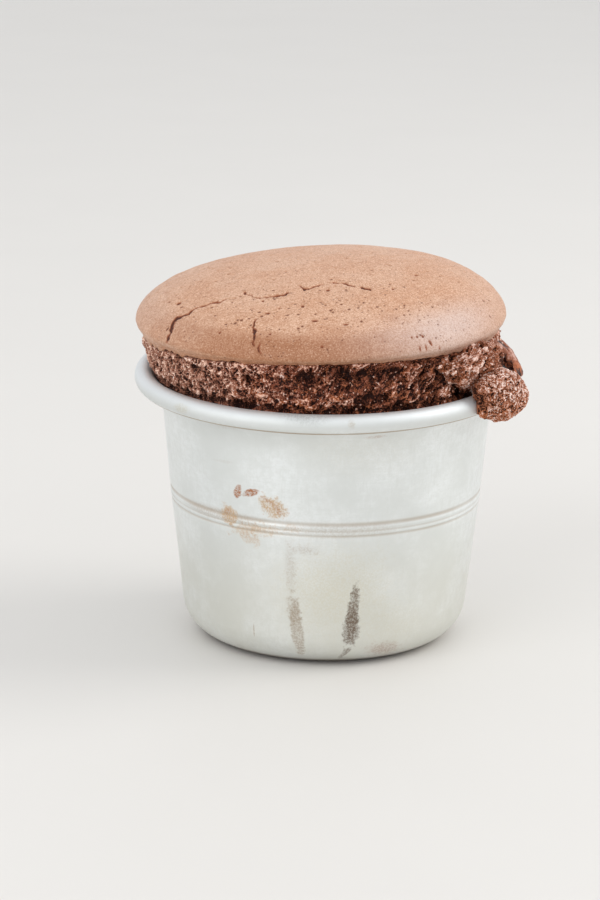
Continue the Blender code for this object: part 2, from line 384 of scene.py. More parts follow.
def store(mesh, **marks):
    """Keeps numbers for the mesh's points, for its material to read.  Where there are fewer of
    them than points, the last points get 0."""
    for name, values in marks.items():
        full = np.zeros(len(mesh.vertices), np.float32)
        full[:np.size(values)] = np.ravel(values)
        mesh.attributes.new(name, "FLOAT", "POINT").data.foreach_set("value", full)


def add_piece(name, mesh, material, node):
    """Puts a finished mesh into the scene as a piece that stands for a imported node."""
    mesh.materials.append(material)
    piece = put(name, mesh)
    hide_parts(node)
    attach(piece, "root")


def tin_rings():
    """The section turned about the axis, dented a little by use, and leant at the rim."""
    outline = tin_outline()
    angle = np.linspace(0, 2 * math.pi, TIN_COLUMNS, endpoint=False)
    r, z = outline[:, :1], outline[:, 1:]
    x, y = r * np.cos(angle), r * np.sin(angle)
    z = np.broadcast_to(z, x.shape)
    upright = np.stack([x, y, z], axis=-1)
    up, out = (z - DENT_UP[0]) / DENT_UP[1], (r - DENT_OUT[0]) / DENT_OUT[1]
    reach = smooth_step(up) * smooth_step(out)
    dent = 1 + DENT_DEPTH * reach * soft_noise(upright, DENT_SIZE, 5) / DENT_RADIUS
    return np.stack([x * dent, y * dent, lean(x, y, z)], axis=-1), outline


COCOA = (0.51, 0.335, 0.18)
COCOA_DAB = (0.37, 0.158, 0.070)
DRIP = (0.33, 0.25, 0.175)
DARK_DRIP = (0.150, 0.102, 0.068)
PATINA = (0.64, 0.615, 0.51)
RIM_GREY = (0.800, 0.825, 0.838)
RIM_OLIVE = (0.620, 0.630, 0.590)
FOOT_SHADOW = (0.095, 0.062, 0.040)
FOOT_DUST = (0.38, 0.26, 0.20)
RIM_SMEAR = (0.50, 0.38, 0.31)
RIM_STAIN = (0.52, 0.48, 0.36)
RIM_CRUMB = (0.46, 0.38, 0.28)
# Painted shade for the bead's top at the front.
RIM_TOP_SHADE = (0.36, 0.365, 0.345)
BURNT_SPECK = (0.16, 0.09, 0.06)
# Marks on the wall, by angle round the tin and height: half width along the rim, half
# height, lean in degrees, colour, strength, soft share of the edge, and how ragged it is.
MARKS = (
    (-86.0, 18.0, 19.0, 15.0, 0, PATINA, 0.78, 0.95, 0.8),
    (-86.0, 32.3, 24.0, 2.3, 0, GRIME_AND_SHADE, 0.34, 0.8, 0.5),
    (-132.0, 33.2, 15.0, 1.9, 0, GRIME_AND_SHADE, 0.46, 0.6, 0.4),
    (-62.0, 9.0, 12.0, 9.0, 0, PATINA, 0.40, 0.9, 0.6),
    (-78.0, 50.0, 22.0, 8.0, 0, PATINA, 0.22, 0.95, 0.5),
    (-109.3, 37.0, 3.9, 2.7, 28, COCOA, 0.86, 0.45, 1.4),
    (-107.3, 36.4, 2.0, 0.8, 50, COCOA_DAB, 0.42, 0.6, 1.4),
    (-110.8, 38.3, 2.3, 0.5, 30, COCOA_DAB, 0.42, 0.6, 1.2),
    (-127.0, 33.8, 2.6, 2.9, -30, COCOA, 0.84, 0.5, 1.4),
    (-127.6, 34.3, 1.4, 0.9, -40, COCOA_DAB, 0.35, 0.7, 1.6),
    (-120.0, 31.0, 4.8, 2.0, -14, COCOA, 0.55, 0.7, 2.0),
    (-113.0, 31.6, 5.4, 2.2, -6, COCOA, 0.50, 0.8, 2.2),
    (-117.5, 28.8, 2.8, 1.7, 0, COCOA, 0.46, 0.7, 2.0),
    (-103.0, 32.4, 3.8, 1.6, 0, COCOA, 0.32, 0.9, 2.2),
    (-122.7, 39.3, 1.05, 1.8, 20, COCOA_DAB, 1.0, 0.35, 0.8),
    (-117.5, 39.6, 2.4, 1.0, -18, COCOA_DAB, 1.0, 0.40, 1.0),
    (-100.8, 9.6, 1.60, 8.0, -5, DRIP, 0.68, 0.35, 1.2),
    (-102.0, 13.8, 1.95, 5.2, -3, DRIP, 0.46, 0.65, 1.4),
    (-103.0, 24.0, 1.9, 8.5, 0, DRIP, 0.30, 0.9, 1.4),
    (-97.5, 27.8, 4.4, 1.6, 0, DRIP, 0.32, 0.9, 1.6),
    (-79.4, 13.2, 1.45, 7.4, 4, DARK_DRIP, 0.84, 0.30, 1.2),
    (-79.9, 9.6, 2.15, 5.2, 2, DARK_DRIP, 0.74, 0.32, 1.3),
    (-81.6, 3.5, 0.8, 2.3, 34, DARK_DRIP, 0.66, 0.45, 1.0),
    (-64.5, 3.7, 5.8, 2.7, 12, FOOT_DUST, 0.62, 0.80, 1.2),
    (-118.8, 7.8, 0.25, 2.0, 0, GRIME_AND_SHADE, 0.75, 0.5, 0.2),
    (-74.0, 53.4, 3.6, 0.55, 0, RIM_SMEAR, 0.50, 0.7, 0.8),
    (-126.0, 54.0, 6.0, 1.1, 0, GRIME_AND_SHADE, 0.28, 0.8, 1.4),
    (-128.0, 45.6, 4.0, 0.5, -3, GRIME_AND_SHADE, 0.16, 0.9, 1.6),
    (-137.0, 57.2, 3.4, 1.5, 0, RIM_STAIN, 0.45, 0.7, 0.8),
    (-83.5, 57.6, 1.1, 1.3, 0, RIM_CRUMB, 0.40, 0.7, 0.8),
    # Painted shade on the top of the bead at the front, next to the dark cake.
    (-96.5, 59.4, 8.0, 3.0, 0, RIM_TOP_SHADE, 0.60, 0.9, 0.5),
    (-61.0, 60.5, 0.35, 0.35, 0, BURNT_SPECK, 0.8, 0.4, 0.3),
    (150.0, 30.0, 9.0, 12.0, 10, PATINA, 0.40, 0.9, 0.8),
    (60.0, 22.0, 11.0, 10.0, 0, PATINA, 0.42, 0.9, 0.8),
    (95.0, 12.0, 1.6, 6.5, 4, DRIP, 0.45, 0.6, 1.2),
)
# How far in and out of the wall a mark reaches, so that it keeps to its own side of the tin.
MARK_DEPTH = 9.0
# Spans up the tin: where the yellow patina grows down the wall, the rim's dry grey begins, its
# olive shade ends, and the painted contact shadow at the foot fades; and that painted shadow
# fades to the right.
PATINA_SPAN = (38 * MM, 8 * MM)
RIM_SPAN = (55.6 * MM, 57.0 * MM)
LOW_RIM_SPAN = (59.4 * MM, 57.2 * MM)
FOOT_SPAN = (0.6 * MM, 1.9 * MM)
FOOT_RIGHT = (2 * MM, 26 * MM)


def spread(tree, value, low, high, to_low=0.0, to_high=1.0):
    """A value eased from one span to another and held at its ends."""
    inputs = {"Value": value, "From Min": low, "From Max": high,
              "To Min": to_low, "To Max": to_high}
    return add(tree, "MapRange", inputs, interpolation_type="SMOOTHSTEP").outputs[0]


def maths(tree, operation, first, second):
    """The value socket of a Math node on two values."""
    return add(tree, "Math", {0: first, 1: second}, operation=operation).outputs[0]


def product(tree, first, second):
    return maths(tree, "MULTIPLY", first, second)


def larger(tree, first, second):
    return maths(tree, "MAXIMUM", first, second)


def summed(tree, start, *weighted):
    """A start value, plus each further value times its weight."""
    for value, weight in weighted:
        inputs = {0: value, 1: weight, 2: start}
        start = add(tree, "Math", inputs, operation="MULTIPLY_ADD").outputs[0]
    return start


def tint(tree, shade, rgb, value, low, high, most=1.0, within=None):
    """A shade taken towards a colour as a value goes from low to high, most at the end, and
    where it is given, only as far as another value reaches."""
    share = spread(tree, value, low, high, 0.0, most)
    return mix(tree, share if within is None else product(tree, within, share), shade, rgb)


def stretched(tree, place, up):
    """Places whose height is scaled, so that a pattern on them is flattened or drawn out."""
    return add(tree, "Mapping", {"Vector": place, "Scale": (1.0, 1.0, up)}).outputs[0]


def read(tree, *names):
    """The sockets that give the numbers kept under those names."""
    return [add(tree, "Attribute", attribute_name=name).outputs["Fac"] for name in names]


def bumps(tree, height, strength, distance):
    """The normal socket of a bump: a height from 0 to 1, so many millimetres deep."""
    inputs = {"Height": height, "Strength": strength, "Distance": distance * MM}
    return add(tree, "Bump", inputs).outputs[0]


def mark_mask(tree, place, rag, mark):
    """How strongly a mark covers a point: its distance from the mark's middle in half sizes,
    made ragged by noise and eased at the edge."""
    angle, height, half_along, half_up, tilt, _, strength, soft, ragged = mark
    turn = math.radians(angle)
    radius = float(wall_radius(height)) if height <= WALL_TOP[1] else BEAD_CENTRE[0]
    centre = Vector((radius * math.cos(turn), radius * math.sin(turn), height)) * MM
    inputs = {"Vector": place, "Location": centre,
              "Rotation": (0.0, math.radians(tilt), turn + math.pi / 2),
              "Scale": (half_along * MM, MARK_DEPTH * MM, half_up * MM)}
    local = add(tree, "Mapping", inputs, vector_type="TEXTURE").outputs[0]
    distance = add(tree, "VectorMath", {0: local}, operation="LENGTH").outputs["Value"]
    distance = summed(tree, distance, (rag, ragged))
    return spread(tree, distance, 1.0 - soft, 1.0, strength, 0.0)


def used_aluminium():
    """Dull pressed aluminium: fine turning lines, upright scratches and cloudy oxide, dirt and
    painted shade in the pressed lines, painted shade below the bead's curl and on the foot's
    corner, a painted contact shadow along the foot, painted shade on the front of the bead's top,
    a yellow patina near the foot, a smear of cocoa and dried drips."""
    material, tree, shader, place = start_material("used_aluminium")
    oxide = clouds(tree, place, 14, 5.0, 0.6)
    mottle = clouds(tree, place, 1.3, 3.0, 0.6)
    speck = clouds(tree, place, 0.45, 2.0)
    lines = clouds(tree, stretched(tree, place, 20.0), 9, 4.0, 0.65)
    scratches = clouds(tree, stretched(tree, place, 0.07), 0.75, 3.0, 0.7)
    rag = summed(tree, -0.5, (clouds(tree, place, 1.3, 3.0, 0.65), 1.0))
    grit = spread(tree, clouds(tree, place, 0.42, 2.0, 0.7), 0.40, 0.58, 0.45, 1.0)
    shade = mix(tree, spread(tree, oxide, 0.35, 0.70), ALUMINIUM, ALUMINIUM_DULL)
    for noise, low, high, most in ((mottle, 0.38, 0.66, 0.50), (lines, 0.45, 0.70, 0.30),
                                   (speck, 0.50, 0.72, 0.40), (scratches, 0.50, 0.68, 0.45)):
        shade = tint(tree, shade, ALUMINIUM_DULL, noise, low, high, most)
    across, _, up = add(tree, "SeparateXYZ", {"Vector": place}).outputs
    patina = product(tree, spread(tree, up, *PATINA_SPAN, 0.0, 0.42),
                     spread(tree, oxide, 0.25, 0.60, 0.5, 1.0))
    shade = mix(tree, patina, shade, PATINA)
    rim = spread(tree, up, *RIM_SPAN)
    shade = mix(tree, product(tree, rim, 0.80), shade, RIM_GREY)
    shade = tint(tree, shade, RIM_OLIVE, up, *LOW_RIM_SPAN, 0.40, within=rim)
    # Dirt and painted shade in the pressed lines; painted shade below the curl and on the foot's
    # corner.
    grime = product(tree, read(tree, "grime")[0], spread(tree, oxide, 0.25, 0.60, 0.65, 1.0))
    shade = mix(tree, grime, shade, GRIME_AND_SHADE)
    # Painted contact shadow along the foot, weaker to the right.
    line = product(tree, spread(tree, up, *FOOT_SPAN, 0.95, 0.0),
                   spread(tree, across, *FOOT_RIGHT, 1.0, 0.15))
    shade = mix(tree, line, shade, FOOT_SHADOW)
    cover = larger(tree, grime, line)
    for mark in MARKS:
        mask = product(tree, mark_mask(tree, place, rag, mark), grit)
        shade = mix(tree, mask, shade, mark[5])
        cover = larger(tree, cover, mask)
    bright = summed(tree, 0.66, (rim, 0.22), (cover, -0.60))
    dullness = spread(tree, oxide, 0.30, 0.75, 0.34, 0.46)
    rough = summed(tree, dullness, (larger(tree, cover, rim), 0.25))
    height = summed(tree, mottle, (speck, 0.5), (lines, 0.5))
    feed(tree, shader, {"Base Color": shade, "Metallic": bright, "Roughness": rough,
                        "Normal": bumps(tree, height, 0.16, 0.06)})
    return material


def make_tin():
    rings, outline = tin_rings()
    r, z = outline.T
    pressed, most = LINE_GRIME_AND_SHADE
    from_height, over, strength = FOOT_CORNER_SHADE
    # Dirt and painted shade in the pressed lines; painted shade in the slit below the curl and on
    # the foot's corner.
    in_lines = np.clip(-band_stand(z) / pressed, 0, most) * (r > WALL_FOOT[0])
    on_bead = np.hypot(r - BEAD_CENTRE[0], z - BEAD_CENTRE[1]) < BEAD_RADIUS + 0.05
    in_curl = on_bead & (z < BEAD_CENTRE[1] - CURL_BELOW)
    on_foot = strength * smooth_step((from_height - z) / over) * (r > BASE_RINGS[1])
    grime = np.broadcast_to((in_lines + in_curl + on_foot)[:, None], rings.shape[:2])
    mesh = make_mesh("tin_shell", *closed_skin(rings, (0, 0, 0), (0, 0, SHEET)))
    store(mesh, grime=grime)
    add_piece("tin_shell", mesh, used_aluminium(), "tin")


make_tin()


# --- The sponge ---
# The baked batter: it fills the tin and stands bare above the rim, where the side tore as
# it rose.  The crumb is fine and open at the left, and moist, coarse and drawn at the right.

GAP = 0.3
CRUST_CENTRE = (-1.6, 0.4)
CRUST_RADIUS = 40.65
EDGE_HEIGHT = 71.86
EDGE_SLOPE = (0.0274, 0.0327)
EDGE_INSET = 1.8
LIP_DEPTH = 1.3
LIP_SIDE_DEPTH = 2.4
WALL_FLARE = 1.35
SPONGE_COLUMNS = 1240
SPONGE_ROWS = 66

# Crags of the torn wall: how many, between which heights, their sizes and strengths, and the
# shares of the bare height over which they fade, from where they start and towards the lip.
CRUMB_SEED = 31
CRUMB_COUNT = 420
CRUMB_HEIGHTS = (58, 71)
CRUMB_SIZES = (1.2, 2.8)
CRUMB_FLATNESS = 0.7
CRUMB_STRENGTHS = (-1.0, 0.8)
CRUMB_LIMITS = (-1.6, 1.2)
CRUMB_DEPTH = 0.5
CRUMB_STARTS = 0.1
CRUMB_FADE = (0.3, 0.2)

# The web of the crumb: the widths of its meshes, coarse and fine, and how high it stands.
OPEN_WEB = (1.00, 0.54, 0.70)
DRAWN_WEB = (1.00, 0.52, 0.75)
WEB_WIDTH = 0.38
# Blown holes in the open crumb: size, depth and the share of cells that have one.
BLOWN = (2.5, 0.60, 0.20)
# Clefts between the drawn lumps: size, depth and how wide they gape; and the lumps' height.
CLEFTS = (3.0, 1.10, 0.34)
LUMP_HEIGHT = 0.45
# Hollows torn in the side and flakes left standing on it, by angle round the tin and height:
# half width, half height and how far in or out.
TORN = (
    (-114.0, 65.3, 0.75, 1.1, -1.5), (-95.5, 66.6, 2.3, 0.8, -1.1), (-42.0, 60.9, 1.9, 2.0, -2.2),
    (-58.5, 69.3, 3.0, 0.8, -1.0), (-50.0, 69.2, 2.6, 0.7, -0.8), (-101.0, 63.6, 1.6, 0.5, -0.7),
    (-72.5, 62.4, 2.2, 0.7, -0.9), (-64.0, 65.0, 1.8, 0.5, -0.8), (-135.0, 66.0, 1.0, 0.8, -0.9),
    (-84.5, 67.4, 1.6, 0.45, -0.6), (165.0, 64.5, 1.4, 1.0, -1.2), (120.0, 66.5, 1.8, 0.8, -1.1),
    (75.0, 63.8, 1.6, 0.7, -1.0), (40.0, 66.0, 1.5, 0.9, -1.1),
    (-98.3, 60.9, 1.0, 0.9, 1.0), (-95.2, 60.2, 1.2, 0.7, 1.2), (-77.0, 60.4, 1.3, 0.7, 1.1),
    (-86.0, 62.6, 1.5, 1.0, 0.9), (-68.0, 62.4, 1.3, 0.9, 0.9), (-110.5, 62.4, 1.2, 0.7, 0.7),
)
# The sponge draws in where it leaves the tin: how far, and over what share of its height.
WAIST = (0.75, 0.085)
# Where the crumb is drawn: it starts, is full, and ends at these angles round the tin.  It is
# already dark with moisture this many degrees before.
MOIST_ANGLES = (-112, -82, 8, 40)
MOIST_LEAD = 24
# Round the spill the crumb dries lighter again: the middle and the reach of that, in degrees.
DUSTY_MIDDLE = -28
DUSTY_REACH = 30
DUSTY_SHARE = 0.55
STRAND_RUN = Vector((0.59, 0.49, 0.64)).normalized()
STRAND_STRETCH = 3.0
# Fading of the torn places and of the web, as shares of the bare height at its foot and its top.
TORN_FADE = (0.12, 0.06)
WEB_FADE = (0.05, 0.06)
# Painted shade: tone is lost in the hollows and at the waist.  Tone is gained on flakes, and
# under the lip as painted light, where the gain starts at a share of the height and comes over
# another.
HOLLOW_SHADE, WAIST_SHADE, FLAKE_LIGHT = 0.9, 0.62, 0.25
UNDER_LIP = (0.16, 0.80, 0.15)
# The top ring lies inside the crust, drawn in and down by these shares of the lip's size.
INNER_RING = (2.2, 0.7)

# Painted shade: the nearly black colour of the crumb's pits.
CRUMB_PORE_SHADE = (0.019, 0.0048, 0.0032)
# The light colours go on what stands proud: the crumb's own colour with painted light on it. The
# dry colours are lighter, partly as dry crumb is and partly as painted light on the left of the
# wall.
DRY_MID, DRY_LIGHT = (0.330, 0.136, 0.085), (0.950, 0.650, 0.510)
MOIST_MID, MOIST_LIGHT = (0.225, 0.066, 0.034), (0.880, 0.530, 0.400)
DUSTY_MID, DUSTY_LIGHT = (0.380, 0.130, 0.062), (0.970, 0.760, 0.680)
# Painted glints: bright specks painted on the crumb's high points.
PAINTED_GLINT = (0.960, 0.820, 0.770)
WARM_CRUMB = (0.480, 0.150, 0.058)


def cell_noise(points, size, salt=0):
    """Cells of about that size: the distance, in cells, to the nearest of their scattered
    middles, and a share from 0 to 1 that is the cell's own."""
    scaled = points / size
    home = np.floor(scaled).astype(np.int64)
    near = np.full(points.shape[:-1], np.inf)
    own = np.zeros_like(near)
    for step in np.ndindex(3, 3, 3):
        cell = home + np.array(step) - 1
        middle = cell + np.stack([lattice_share(cell, salt + k) for k in range(3)], axis=-1)
        distance = np.linalg.norm(scaled - middle, axis=-1)
        closer = distance < near
        own = np.where(closer, lattice_share(cell, salt + 3), own)
        near = np.where(closer, distance, near)
    return near, own


def warped(points, size, reach, salt):
    """Points pushed about by three soft noises, so that cells lose their round shape."""
    push = [soft_noise(points, size, salt + axis) for axis in range(3)]
    return points + reach * np.stack(push, axis=-1)


def web(points, coarse, fine, salt):
    """From 0 to 1: thin walls that stand where soft noises cross zero, a coarse and a fine."""
    walls = [smooth_step(1 - np.abs(soft_noise(points, size, salt + size_salt)) / WEB_WIDTH)
             for size_salt, size in enumerate((coarse, fine))]
    return np.maximum(walls[0], 0.85 * walls[1])


def porous(points):
    """Open crumb: a web of thin walls round its pores, blown through here and there by larger
    holes.  Gives its relief and its tone, 0 in the pores and 1 on the walls; the low tone is
    painted shade in the pores and the holes."""
    coarse, fine, height = OPEN_WEB
    bent = warped(warped(points, 1.3, 0.40, 11), 0.5, 0.16, 25)
    clot = cell_noise(bent, 0.85, 62)[1]
    tone = web(bent, coarse, fine, 15) * (0.50 + 0.50 * clot)
    size, depth, share = BLOWN
    near, own = cell_noise(bent, size, 20)
    hole = (own < share) * smooth_step((0.50 + own - near) / 0.35)
    relief = height * (tone - 0.5) + 0.2 * soft_noise(points, 2.0, 18) - depth * hole
    return relief, tone * (1 - 0.85 * hole)


def curdled(points):
    """Moist crumb: lumps parted by clefts and drawn out along one slanting run, under a web
    of strands.  Each small clot has a tone of its own, and the clefts get a low tone, which is
    painted shade."""
    coarse, fine, height = DRAWN_WEB
    run = np.array(STRAND_RUN)
    along = (points @ run)[..., None] * run
    bent = warped(points - along * (1 - 1 / STRAND_STRETCH), 1.5, 0.45, 41)
    strands = web(bent, coarse, fine, 51)
    size, depth, gape = CLEFTS
    sound = smooth_step(np.abs(soft_noise(bent, size, 55)) / gape)
    clot = cell_noise(bent, 0.9, 61)[1]
    relief = height * (strands - 0.5) + LUMP_HEIGHT * soft_noise(bent, 1.9, 56)
    relief += depth * (sound - 1) + 0.25 * (clot - 0.5)
    return relief, strands * (0.30 + 0.70 * sound) * (0.45 + 0.55 * clot)


def wrapped(angle):
    """An angle brought between minus half a turn and half a turn."""
    return np.mod(angle + math.pi, 2 * math.pi) - math.pi


def between(share, rise, fall):
    """1 along the middle of a stretch from 0 to 1, eased from 0 over its rise and its fall."""
    return smooth_step(share / rise) * smooth_step((1 - share) / fall)


def torn_places(angle, height):
    """The push of the hollows and flakes, in or out, and how deep a point lies in a hollow and
    how high on a flake, as soft bells over the side."""
    push, hollow, flake = np.zeros((3, *np.broadcast(angle, height).shape))
    for at_angle, at_height, wide, tall, far in TORN:
        across = wrapped(angle - math.radians(at_angle)) * CRUST_RADIUS
        bell = np.exp(-((across / wide) ** 2 + ((height - at_height) / tall) ** 2) ** 1.5)
        push += far * bell
        kind = hollow if far < 0 else flake
        np.maximum(kind, bell, out=kind)
    return push, hollow, flake


def crumb_crags(angle, height):
    """Large crags of the torn wall: seeded soft dents and swellings spread over it."""
    rng = np.random.default_rng(CRUMB_SEED)
    relief = np.zeros(np.broadcast(angle, height).shape)
    for _ in range(CRUMB_COUNT):
        at_angle = rng.uniform(0, 2 * math.pi)
        at_height = rng.uniform(*CRUMB_HEIGHTS)
        wide = rng.uniform(*CRUMB_SIZES)
        tall = rng.uniform(*CRUMB_SIZES) * CRUMB_FLATNESS
        strength = rng.uniform(*CRUMB_STRENGTHS)
        across = wrapped(angle - at_angle) * CRUST_RADIUS
        relief += strength * np.exp(-(across / wide) ** 2 - ((height - at_height) / tall) ** 2)
    return CRUMB_DEPTH * np.clip(relief, *CRUMB_LIMITS)


def edge_height(x, y):
    return EDGE_HEIGHT + EDGE_SLOPE[0] * x + EDGE_SLOPE[1] * y


def lip_ring(angle, inset_share, drop_share):
    """A ring under the crust's edge, drawn in and down by shares of the lip's size."""
    radius = CRUST_RADIUS - inset_share * EDGE_INSET
    x = CRUST_CENTRE[0] + radius * np.cos(angle)
    y = CRUST_CENTRE[1] + radius * np.sin(angle)
    depth = LIP_DEPTH + LIP_SIDE_DEPTH * np.cos(angle) ** 2
    return np.stack([x, y, edge_height(x, y) - drop_share * depth], axis=-1)


def moist_share(angle, lead=0):
    """1 where the crumb is moist, 0 where it is dry, eased at both ends of the span, which a
    lead in degrees moves on."""
    start, full, going, gone = (math.radians(a) for a in MOIST_ANGLES)
    turned = wrapped(angle + math.radians(lead))
    coming = smooth_step((turned - start) / (full - start))
    return coming * smooth_step((gone - turned) / (gone - going))


def angle_bell(angle, middle, reach):
    """1 at an angle round the tin, easing to 0 past its reach, both in degrees."""
    return np.exp(-(wrapped(angle - math.radians(middle)) / math.radians(reach)) ** 2)


def outward(rings):
    """Unit normals of a skin of rings: its step round crossed with its step upwards."""
    around = np.roll(rings, -1, axis=1) - np.roll(rings, 1, axis=1)
    normal = np.cross(around, np.gradient(rings, axis=0))
    return normal / np.maximum(np.linalg.norm(normal, axis=-1, keepdims=True), 1e-9)


def in_tin_rings(angle):
    """The side hidden in the tin, one gap inside the sheet, up to where it leaves the rim."""
    section = np.concatenate([base_corner(SHEET + GAP, 3), flare(SHEET + GAP, 4)])
    r, z = section[:, :1], section[:, 1:]
    x, y = r * np.cos(angle), r * np.sin(angle)
    return np.stack([x, y, lean(x, y, np.broadcast_to(z, x.shape))], axis=-1)


def bare_wall(angle, low, high):
    """The bare wall flares from the rim's ring to the lip's ring, drawn in at its waist.  It is
    pushed in and out by the crags, the hollows and the flakes, and along its normals by the
    web of the crumb, fading at both edges.  Gives its rings, tone, moist share and flakes."""
    share = np.linspace(0, 1, SPONGE_ROWS + 1)[1:, None]
    flared = 1 - (1 - share) ** WALL_FLARE
    ring = low + (high - low) * flared[..., None]
    ring[..., 2] = low[:, 2] + (high[:, 2] - low[:, 2]) * share
    fade_in = smooth_step((share - CRUMB_STARTS) / CRUMB_FADE[0])
    fade_out = smooth_step((1 - share) / CRUMB_FADE[1])
    torn, hollow, flake = torn_places(angle[None, :], ring[..., 2])
    waist = np.exp(-((share - WAIST[1]) / WAIST[1]) ** 2) * (1 - flake)
    crags = fade_in * fade_out * crumb_crags(angle[None, :], ring[..., 2])
    push = crags + torn * between(share, *TORN_FADE) - WAIST[0] * waist
    ring[..., 0] += push * np.cos(angle)
    ring[..., 1] += push * np.sin(angle)
    moist = np.broadcast_to(moist_share(angle), share.shape[:1] + angle.shape)
    moist = np.clip(moist + 2 * soft_noise(ring, 5.0, 71) * moist * (1 - moist), 0, 1)
    dry_relief, dry_tone = porous(ring)
    wet_relief, wet_tone = curdled(ring)
    relief = (1 - moist) * dry_relief + moist * wet_relief
    tone = (1 - moist) * dry_tone + moist * wet_tone
    # Painted shade in the hollows and at the waist; painted light under the lip.
    tone = tone * (1 - HOLLOW_SHADE * hollow) * (1 - WAIST_SHADE * waist) + FLAKE_LIGHT * flake
    gain, gain_from, gain_over = UNDER_LIP
    tone += gain * smooth_step((share - gain_from) / gain_over)
    foot, top = WEB_FADE
    web_fade = smooth_step(share / foot) * (0.35 + 0.65 * smooth_step((1 - share) / top))
    ring += (web_fade * relief)[..., None] * outward(ring)
    return ring, np.clip(tone, 0, 1), moist, flake


def crumb_material():
    """Chocolate crumb: painted shade makes it nearly black in its pits, it is brown on its flanks,
    and painted light makes it lighter on what stands proud, with painted glints there.  Moist
    crumb is darker, redder and glints; dusty crumb is lighter again."""
    material, tree, shader, place = start_material("chocolate_crumb")
    tone, moist, dusty, warm = read(tree, "tone", "moist", "dusty", "warm")
    grain = clouds(tree, place, 0.34, 3.0, 0.70)
    patch = clouds(tree, place, 1.5, 3.0, 0.6)
    rise = summed(tree, -1.5, (tone, 1.0), (grain, 2.1), (patch, 0.9))
    mid = mix(tree, dusty, mix(tree, moist, DRY_MID, MOIST_MID), DUSTY_MID)
    light = mix(tree, dusty, mix(tree, moist, DRY_LIGHT, MOIST_LIGHT), DUSTY_LIGHT)
    warmth = spread(tree, clouds(tree, place, 1.9, 2.0, 0.6), 0.50, 0.66, 0.0, 0.55)
    mid = mix(tree, larger(tree, product(tree, warmth, moist), warm), mid, WARM_CRUMB)
    shade = mix(tree, spread(tree, rise, 0.08, 0.46), CRUMB_PORE_SHADE, mid)
    shade = tint(tree, shade, light, rise, 0.55, 1.00)
    # Painted glints: bright specks where the crumb stands high.
    painted_glint_spots = spread(tree, clouds(tree, place, 0.42, 1.0), 0.60, 0.70, 0.0, 0.75)
    shade = tint(tree, shade, PAINTED_GLINT, rise, 0.45, 0.80, within=painted_glint_spots)
    glint = spread(tree, clouds(tree, place, 0.8, 2.0, 0.6), 0.50, 0.60)
    rough = summed(tree, 0.75, (product(tree, glint, moist), -0.50))
    feed(tree, shader, {"Base Color": shade, "Roughness": rough, "Specular IOR Level": 0.12,
                        "Normal": bumps(tree, grain, 0.70, 0.22)})
    return material


def make_sponge():
    """Gives the bare wall's rings and normals, and how drawn its crumb is."""
    angle = np.linspace(0, 2 * math.pi, SPONGE_COLUMNS, endpoint=False)
    hidden = in_tin_rings(angle)
    wall, tone, drawn, flake = bare_wall(angle, hidden[-1], lip_ring(angle, 1.0, 1.0))
    rings = np.concatenate([hidden, wall, lip_ring(angle, *INNER_RING)[None]])
    top = (*CRUST_CENTRE, edge_height(*CRUST_CENTRE))
    mesh = make_mesh("sponge", *closed_skin(rings, (0, 0, SHEET + GAP), top))
    dusty = DUSTY_SHARE * angle_bell(angle, DUSTY_MIDDLE, DUSTY_REACH) * np.ones_like(tone)
    marks = {"tone": tone, "moist": np.maximum(drawn, moist_share(angle, MOIST_LEAD)),
             "dusty": dusty, "warm": flake}
    bare = slice(len(hidden), len(hidden) + len(wall))
    for name, values in marks.items():
        full = np.zeros(rings.shape[:2])
        full[bare] = values
        store(mesh, **{name: full})
    add_piece("sponge", mesh, CRUMB, "fondant")
    return wall, outward(wall), drawn


CRUMB = crumb_material()
bare_side, bare_normals, bare_moist = make_sponge()


# --- The crust ---
# The dry skin over the top, baked on as the batter rose: a low dome with a rounded
# shoulder and a thin lip, crazed by a few cracks and pricked all over with pinholes.

DOME_HEIGHT = 7.85
DOME_RIGHT_SHIFT = 1.7
DOME_SIDE_SWELL = 2.0
SHOULDER_HEIGHT = 4.78
SHOULDER_POWER = 8.2
CRUST_SIDE = 272
CRUST_EASE = 1.2
# From the edge down, evenly spaced: shares of the lip's inset, and of its drop.
LIP_CURVE = ((0.0, 0.22, 0.75, 1.0, 1.5), (0.0, 0.28, 0.60, 0.92, 0.70))
LIP_ROWS = 13
LIP_RAGGED = (0.09, 0.17)
RAGGED_MIDDLE = -150
RAGGED_REACH = 55
# The skin closes this far below the edge, inside the sponge.
UNDERSIDE_DROP = 0.5
# A distance past the reach of any crack or hole.
FAR = 9.0

# Cracks, each a route over the crust from above: (right, back, width).
CRACKS = (
    ((-34.6, -23.6, 0.35), (-33.2, -22.0, 0.45), (-32.2, -20.4, 0.45), (-29.5, -21.0, 0.35),
     (-28.2, -20.2, 0.50), (-25.5, -19.9, 0.30), (-22.5, -19.8, 0.20), (-19.8, -20.4, 0.12)),
    ((-18.4, -18.7, 0.20), (-15.5, -21.0, 0.15), (-12.0, -21.9, 0.20), (-10.6, -21.9, 0.50),
     (-9.2, -21.6, 0.45)),
    ((-6.1, -18.0, 0.25), (-5.5, -19.8, 0.50), (-3.6, -19.7, 0.35), (-1.4, -18.9, 0.15)),
    ((0.8, -17.6, 0.22), (3.0, -18.1, 0.32), (5.2, -18.8, 0.28)),
    ((6.9, -19.7, 0.50), (8.6, -20.4, 0.50)),
    ((-14.9, -29.5, 0.12), (-15.7, -32.2, 0.24), (-16.3, -32.8, 0.20), (-15.7, -33.5, 0.42),
     (-15.7, -35.2, 0.40)),
    ((-14.2, -36.0, 0.20), (-14.7, -36.9, 0.26), (-14.4, -37.7, 0.18)),
)
CRACK_GAPE = 0.60
CRACK_SPREAD = 1.35
CRACK_WANDER = ((2.6, 0.55), (1.1, 0.32), (0.55, 0.16))
